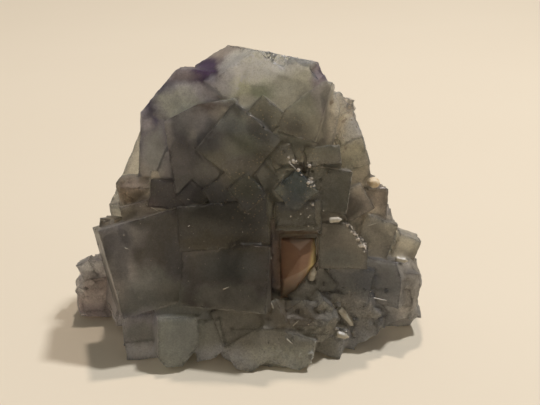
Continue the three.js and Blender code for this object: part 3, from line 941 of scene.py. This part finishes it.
            # Edges lose a deep scoop every 2 mm or so, with raggedness between the scoops.
            away = edges.find(vert.co)[2] / MM
            edge = max(0.0, 1 - away / self.near)
            scoop = max(0.0, 0.62 - noise.voronoi(place * 0.5)[0][0])
            ragged = max(0.0, 0.25 + noise.noise(place * 1.6))
            dig = chips * edge * (3.0 * scoop + ragged)
            moves.append(vert.normal * (swell * rough - dig))
            # The rim is painted shade along the thin edges, for the dark lines that light bent at
            # an edge draws: full on the edge, gone a rim's width away.
            vert[rim] = max(0.0, 1 - away / self.rim)
            # A place looks fully worn where it is 0.2 mm rough or dug 0.3 mm deep.
            vert[worn] = min(1.0, rough / 0.2 + dig / 0.3)
        for vert, move in zip(bm.verts, moves):
            vert.co += move * MM


@dataclass
class FluoriteMass(DressedSolid):
    """The joined fluorite crystals: each face keeps a share of its own crystal's tint."""

    own_share: float = 0.6
    # How dark the painted shade along the thin edges gets.
    painted_edge_shade: float = 0.75
    tone_spread: float = 0.14

    def mark(self, bm: bmesh.types.BMesh) -> None:
        """Gives each face its coordinates and its crystal's own tint.

        Args:
            bm: the mesh, with whole flat faces.
        """
        super().mark(bm)
        tint = bm.loops.layers.float_color.new("tint")
        for face in bm.faces:
            middle = face.calc_center_median() / MM
            colour = self.tint_at(middle)
            tone = 1 + self.tone_spread * noise.noise(middle * 0.9)
            for loop in face.loops:
                loop[tint] = [c * tone for c in colour] + [1.0]

    def finish(self, bm: bmesh.types.BMesh) -> None:
        """Lets the tints of neighbouring crystals run together, and paints shade along the thin
        edges.

        Args:
            bm: the worn mesh.
        """
        tint = bm.loops.layers.float_color["tint"]
        rim = bm.verts.layers.float["rim"]
        for vert in bm.verts:
            soft = self.tint_at(vert.co / MM)
            # Painted shade: the tint darkens towards the thin edges.
            shade = 1 - self.painted_edge_shade * vert[rim]
            for loop in vert.link_loops:
                own = loop[tint]
                loop[tint] = [shade * (s + (o - s) * self.own_share)
                              for s, o in zip(soft, own)] + [1.0]

    def tint_at(self, place: Vector) -> list[float]:
        """Blends the crystals' colours at a place, the nearest ones most.

        Args:
            place: the place, in millimetres.

        Returns:
            The red, green and blue, in linear light.
        """
        total, blend = 0.0, [0.0, 0.0, 0.0]
        for tint in FACE_TINTS:
            away = (place - Vector(tint.at)).length / tint.reach
            # The small second term gives a place that no tint reaches the nearest one's colour.
            weight = math.exp(-3.0 * away * away) + 1e-6 / (1 + away ** 4)
            total += weight
            blend = [b + weight * c for b, c in zip(blend, linear(tint.colour))]
        return [b / total for b in blend]


class Form(Enum):
    """What a scattered crumb is."""

    GRAIN = "grain"
    CUBE = "cube"


@dataclass(frozen=True)
class Patch:
    """A place where crumbs lie: round a line, on the side that faces a direction."""

    start: Point
    end: Point
    spread: float
    count: int
    size: tuple[float, float]
    form: Form = Form.GRAIN
    towards: Point = (0.0, -1.0, 0.35)


@dataclass
class Scatter:
    """Crumbs laid on the surface of the crystals, joined as one piece.

    A crumb drops from a height over its patch, falls so far at most, and sinks in by a share
    of its size. A grain is ragged by a share of its radius, and a cube's tilt is in radians.
    """

    name: str
    material: bpy.types.Material
    patches: tuple[Patch, ...]
    seed: int
    sink: float = 0.3
    height: float = 14.0
    fall: float = 30.0
    ragged: float = 0.28
    tilt: float = 0.6

    def build(self, ground: BVHTree) -> bpy.types.Object:
        """Lays every crumb of every patch.

        Args:
            ground: the surface that they lie on.

        Returns:
            The joined crumbs.
        """
        draw = random.Random(self.seed)
        bm = bmesh.new()
        for patch in self.patches:
            for _ in range(patch.count):
                self.lay(bm, patch, ground, draw)
        return object_with(self.name, bm, self.material)

    def lay(self, bm: bmesh.types.BMesh, patch: Patch, ground: BVHTree,
            draw: random.Random) -> None:
        """Drops one crumb on the surface.

        Args:
            bm: the mesh that it joins.
            patch: where it lies.
            ground: the surface.
            draw: the source of its place, turn and size.
        """
        towards = Vector(patch.towards).normalized()
        above = Vector(patch.start).lerp(Vector(patch.end), draw.random())
        above += Vector([draw.gauss(0, patch.spread) for _ in range(3)])
        above += towards * self.height
        hit, normal, _, _ = ground.ray_cast(above * MM, -towards, self.fall * MM)
        if hit is None:
            return
        size = draw.uniform(*patch.size)
        turn = normal.to_track_quat("Z", "Y").to_matrix().to_4x4()
        turn @= Matrix.Rotation(draw.uniform(0, math.tau), 4, "Z")
        place = Matrix.Translation(hit - normal * size * self.sink * 0.5 * MM) @ turn
        match patch.form:
            case Form.GRAIN:
                made = bmesh.ops.create_icosphere(
                    bm, subdivisions=1, radius=0.5 * size * MM,
                    matrix=place @ Matrix.Rotation(draw.uniform(0, math.tau), 4, "X"))["verts"]
                for vert in made:
                    out = vert.co - place.translation
                    vert.co += out * draw.uniform(-self.ragged, self.ragged)
            case Form.CUBE:
                tilt = Matrix.Rotation(draw.uniform(-self.tilt, self.tilt), 4, "X")
                bmesh.ops.create_cube(bm, size=size * MM, matrix=place @ tilt)


@dataclass
class FluoriteCrumbs(Scatter):
    """Tiny cubes of the same fluorite, tinted like the crystals that they lie on."""

    lighter: float = 0.95

    def tinted(self, piece: bpy.types.Object, mass: FluoriteMass) -> None:
        """Gives each point the crystals' colour there.

        Args:
            piece: the crumbs.
            mass: the crystals that they lie on.
        """
        tint = piece.data.color_attributes.new("tint", "FLOAT_COLOR", "POINT")
        for vert, mark in zip(piece.data.vertices, tint.data):
            colour = mass.tint_at(vert.co / MM)
            mark.color = [c * self.lighter for c in colour] + [1.0]


@dataclass(frozen=True)
class Splinter:
    """One thin quartz needle, from end to end, as it lies on the crystals."""

    start: Point
    end: Point
    girth: float


@dataclass
class Splinters:
    """Loose quartz needles, joined as one piece."""

    name: str
    material: bpy.types.Material
    needles: tuple[Splinter, ...]
    taper: float = 0.35

    def build(self, ground: BVHTree) -> bpy.types.Object:
        """Lays every needle half sunk in the surface.

        Args:
            ground: the surface that they lie on.

        Returns:
            The joined needles.
        """
        bm = bmesh.new()
        for needle in self.needles:
            ends = [ground.find_nearest(Vector(end) * MM)[0] for end in (needle.start, needle.end)]
            along = ends[1] - ends[0]
            place = Matrix.Translation((ends[0] + ends[1]) / 2)
            place @= along.to_track_quat("Z", "Y").to_matrix().to_4x4()
            radius = 0.5 * needle.girth * MM
            bmesh.ops.create_cone(
                bm, cap_ends=True, segments=6, radius1=radius, radius2=self.taper * radius,
                depth=along.length, matrix=place)
        return object_with(self.name, bm, self.material)


@dataclass(frozen=True)
class FloorFinish(Finish):
    """Matte board: pale cream, with the faintest mottling."""

    # Coated paper board: it has no shine, so the shadows lie on it soft and even.

    name: str = "matte cream board"
    pale: str = "#efe3cb"
    warm: str = "#eaddc4"
    mottle_mm: float = 111.0
    roughness: float = 0.75

    def surface(self, tree: Tree, millimetres: Socket) -> dict[str, object]:
        """Paints the board.

        Args:
            tree: the material's tree.
            millimetres: the position.

        Returns:
            The shader's inputs.
        """
        mottle = add_node(tree, "ShaderNodeTexNoise", {
            "Vector": millimetres, "Scale": 1 / self.mottle_mm, "Detail": 4.0})
        return {"Roughness": self.roughness, "Base Color": add_node(tree, "ShaderNodeMix", {
            0: mottle.outputs["Fac"], 6: linear(self.pale), 7: linear(self.warm)},
            data_type="RGBA").outputs[2]}


@dataclass(frozen=True)
class Lamp:
    """A soft round lamp that faces the cluster."""

    name: str
    at: Point
    size: float
    power: float
    colour: str

    def build(self, target: Vector) -> bpy.types.Object:
        """Hangs the lamp.

        Args:
            target: the point that it faces, in metres.

        Returns:
            The lamp.
        """
        light = bpy.data.lights.new(self.name, "AREA")
        light.shape = "DISK"
        light.size = self.size * MM
        light.energy = self.power
        light.color = linear(self.colour)[:3]
        lamp = bpy.data.objects.new(self.name, light)
        lamp.location = Vector(self.at) * MM
        lamp.rotation_euler = (target - lamp.location).to_track_quat("-Z", "Y").to_euler()
        bpy.context.scene.collection.objects.link(lamp)
        return lamp


@dataclass
class Studio:
    """The floor, the lamps and the camera."""

    target: Point = (4.95, -0.68, 27.8)
    distance: float = 230.0
    elevation: float = math.radians(22)
    lens: float = 76.7
    floor_span: float = 4000.0
    sky: str = "#fffaf2"
    sky_strength: float = 0.225
    lamps: tuple[Lamp, ...] = (
        Lamp("lamp_right", (338.0, 58.0, 840.0), 100.0, 4.45, "#f6f8ff"),
        Lamp("lamp_behind", (24.0, 306.0, 846.0), 60.0, 2.5, "#fff1e8"),
    )

    def build(self) -> None:
        """Sets everything round the cluster."""
        self.floor()
        self.sky_light()
        for lamp in self.lamps:
            lamp.build(Vector(self.target) * MM)
        self.camera()
        bpy.context.scene.view_settings.view_transform = "Standard"

    def floor(self) -> None:
        """Lays the board that the cluster stands on."""
        bm = bmesh.new()
        bmesh.ops.create_grid(bm, x_segments=1, y_segments=1, size=0.5 * self.floor_span * MM)
        object_with("floor", bm, FloorFinish().build())

    def sky_light(self) -> None:
        """Fills the room with even, pale light."""
        world = bpy.data.worlds.new("room")
        world.use_nodes = True
        world.node_tree.nodes.clear()
        back = add_node(world.node_tree, "ShaderNodeBackground", {
            "Color": linear(self.sky), "Strength": self.sky_strength})
        add_node(world.node_tree, "ShaderNodeOutputWorld", {"Surface": back.outputs["Background"]})
        bpy.context.scene.world = world

    def camera(self) -> None:
        """Places the camera in front, a little above the cluster."""
        data = bpy.data.cameras.new("camera")
        data.lens = self.lens
        data.sensor_width = 36.0
        data.clip_start = 0.01
        camera = bpy.data.objects.new("camera", data)
        target = Vector(self.target) * MM
        back = Vector((0.0, -math.cos(self.elevation), math.sin(self.elevation)))
        camera.location = target + back * self.distance * MM
        camera.rotation_euler = (-back).to_track_quat("-Z", "Y").to_euler()
        bpy.context.scene.collection.objects.link(camera)
        bpy.context.scene.camera = camera


# The foot, the far left and right, the flank and the crown's rim are the most knocked about.
WEATHERING = (
    Weathering((20.0, -11.0, 8.0), (9.0, 7.0, 6.5), 0.25, 0.13),
    Weathering((33.0, -4.0, 9.0), (5.0, 8.0, 6.0), 0.4, 0.13),
    Weathering((6.0, -18.0, 3.5), (13.0, 7.0, 4.5), 0.25, 0.11),
    Weathering((-13.0, -18.0, 1.5), (6.0, 7.0, 2.5), 0.4, 0.06),
    Weathering((12.0, -8.0, 36.0), (5.0, 4.0, 4.0), 0.3, 0.12),
    Weathering((-20.0, -4.0, 31.0), (8.0, 6.0, 4.0), 0.3, 0.08),
    Weathering((-33.0, 3.0, 6.0), (6.0, 8.0, 7.0), 0.35, 0.08),
    Weathering((20.0, 4.0, 40.0), (5.0, 6.0, 9.0), 0.4, 0.12),
    Weathering((3.0, 6.0, 57.5), (14.0, 12.0, 2.5), 0.3, 0.08),
    Weathering((27.0, -2.0, 24.0), (8.0, 6.0, 7.0), 0.3, 0.08),
)

# Quartz crumbs lie along the right-hand cube's edge, over the teal crystal and on the foot.
CRUMBS = (
    Patch((19.8, -6.0, 26.0), (23.8, -7.0, 20.5), 0.3, 40, (0.4, 0.85)),
    Patch((8.8, -6.6, 38.6), (12.0, -7.0, 37.2), 0.7, 44, (0.3, 0.85)),
    Patch((12.3, -8.4, 35.4), (13.3, -8.8, 34.4), 0.35, 12, (0.35, 0.9)),
    Patch((12.0, -9.0, 31.0), (14.0, -9.0, 26.5), 1.6, 14, (0.25, 0.6)),
    Patch((10.0, -12.0, 10.0), (26.0, -9.0, 9.0), 2.6, 46, (0.15, 0.4)),
    Patch((20.0, 3.0, 46.0), (22.0, 3.0, 33.0), 1.5, 14, (0.2, 0.5)),
    Patch((-20.0, -12.0, 24.0), (-4.0, -14.0, 14.0), 5.0, 40, (0.12, 0.25)),
)

# Second-growth cubes sit in the hollows low on the right, over the teal crystal and at the foot.
TINY_CUBES = (
    Patch((11.0, -13.0, 10.0), (26.0, -9.0, 8.0), 2.4, 40, (0.4, 1.0), Form.CUBE),
    Patch((5.0, -8.0, 38.0), (14.0, -7.0, 36.0), 1.6, 16, (0.4, 0.9), Form.CUBE),
    Patch((-4.0, -17.0, 5.0), (14.0, -18.0, 5.0), 1.8, 20, (0.4, 1.0), Form.CUBE),
)

# Thin needles lie where they show most: on the right flank, the blocks and the foot.
NEEDLES = (
    Splinter((19.0, 1.2, 42.0), (20.2, 1.0, 39.2), 0.3),
    Splinter((8.8, -7.0, 38.4), (9.6, -7.3, 37.9), 0.22),
    Splinter((24.4, -3.0, 23.6), (26.8, -3.0, 24.3), 0.22),
    Splinter((9.4, -17.0, 8.4), (10.6, -16.8, 9.6), 0.25),
    Splinter((27.6, -9.6, 10.4), (30.4, -9.0, 9.0), 0.3),
    Splinter((4.9, -14.0, 21.5), (7.5, -13.6, 22.0), 0.25),
    Splinter((-11.0, -8.0, 31.5), (-8.6, -8.2, 29.8), 0.2),
    Splinter((-14.0, -12.5, 25.0), (-9.6, -12.5, 26.2), 0.2),
    Splinter((-20.0, -6.0, 30.0), (-16.4, -8.0, 28.6), 0.2),
    Splinter((1.0, -9.0, 28.6), (4.6, -9.0, 34.4), 0.18),
    Splinter((-4.0, -16.5, 16.3), (-2.9, -16.5, 16.8), 0.3),
    Splinter((-5.8, -16.5, 12.6), (-3.6, -16.5, 12.9), 0.22),
    Splinter((-22.8, -13.3, 23.5), (-22.1, -13.4, 23.3), 0.2),
    Splinter((8.1, -18.3, 6.5), (9.3, -18.3, 5.4), 0.35),
    Splinter((4.9, -14.9, 12.6), (5.8, -14.9, 11.3), 0.4),
    Splinter((23.3, -8.4, 18.1), (25.0, -8.2, 18.9), 0.4),
    Splinter((26.4, -9.6, 11.3), (28.0, -9.4, 10.3), 0.2),
    Splinter((17.3, -11.0, 10.2), (17.9, -11.0, 9.5), 0.5),
)


def show(piece: bpy.types.Object) -> None:
    """Puts a finished piece on the cluster's body and reports it.

    Args:
        piece: the piece.
    """
    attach(piece, BODY)
    LOG.info("%s: %d faces", piece.name, len(piece.data.polygons))


def main() -> None:
    """Builds the cluster and the studio, in order."""
    logging.basicConfig(level=logging.INFO, format="%(name)s: %(message)s")
    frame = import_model()
    nodes = frame["nodes"]
    mass = FluoriteMass("fluorite_cluster", "fluorite_mass", "fluorite",
                        FluoriteFinish().build(), weathering=WEATHERING)
    quartz = GrainFinish().build()
    # Sugary grains grown together: warm, opaque and without a glint.
    cream = GrainFinish("grainy cream quartz", pale="#f0dfbf", dull="#cdb083",
                        transmission=0.0, roughness=0.5).build()
    # Crumbs with dust between them: greyer and duller than the clean prisms.
    crust = GrainFinish("dusty quartz crust", pale="#ddd3c4", dull="#a89a86",
                        transmission=0.1, roughness=0.5).build()
    # Etched all over, so less light goes through than through the large crystals.
    frosted = FluoriteFinish("frosted fluorite crumbs", transmission=0.3).build()
    solids: list[DressedSolid] = [
        mass,
        DressedSolid("iron_stained_crystal", "stained_crystal", "iron_stained_fluorite",
                     StainedFinish().build(), bevel=0.06, coarse=0.8, fine=0.6, chips=0.06,
                     softened=0),
        DressedSolid("quartz_grain", "cream_grain", "cream_quartz", cream, bevel=0.05,
                     coarse=0.4, fine=0.3, chips=0.12, unevenness=0.08),
    ]
    solids += [DressedSolid(node, node.replace("quartz_", ""), "quartz", quartz, bevel=0.05,
                            coarse=0.6, fine=0.4, chips=0.04, unevenness=0.015, softened=0)
               for node in sorted(nodes) if node.startswith("quartz_prism")]
    for solid in solids:
        piece = solid.build(nodes[solid.node])
        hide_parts(solid.node)
        show(piece)
    rock = bpy.data.objects[mass.name].data
    ground = BVHTree.FromPolygons([v.co for v in rock.vertices],
                                  [p.vertices for p in rock.polygons])
    show(Scatter("quartz_crumbs", crust, CRUMBS, seed=7).build(ground))
    tiny = FluoriteCrumbs("tiny_cubes", frosted, TINY_CUBES, seed=11, sink=1.0)
    cubes = tiny.build(ground)
    tiny.tinted(cubes, mass)
    show(cubes)
    show(Splinters("quartz_needles", quartz, NEEDLES).build(ground))
    Studio().build()


if __name__ == "__main__":
    main()
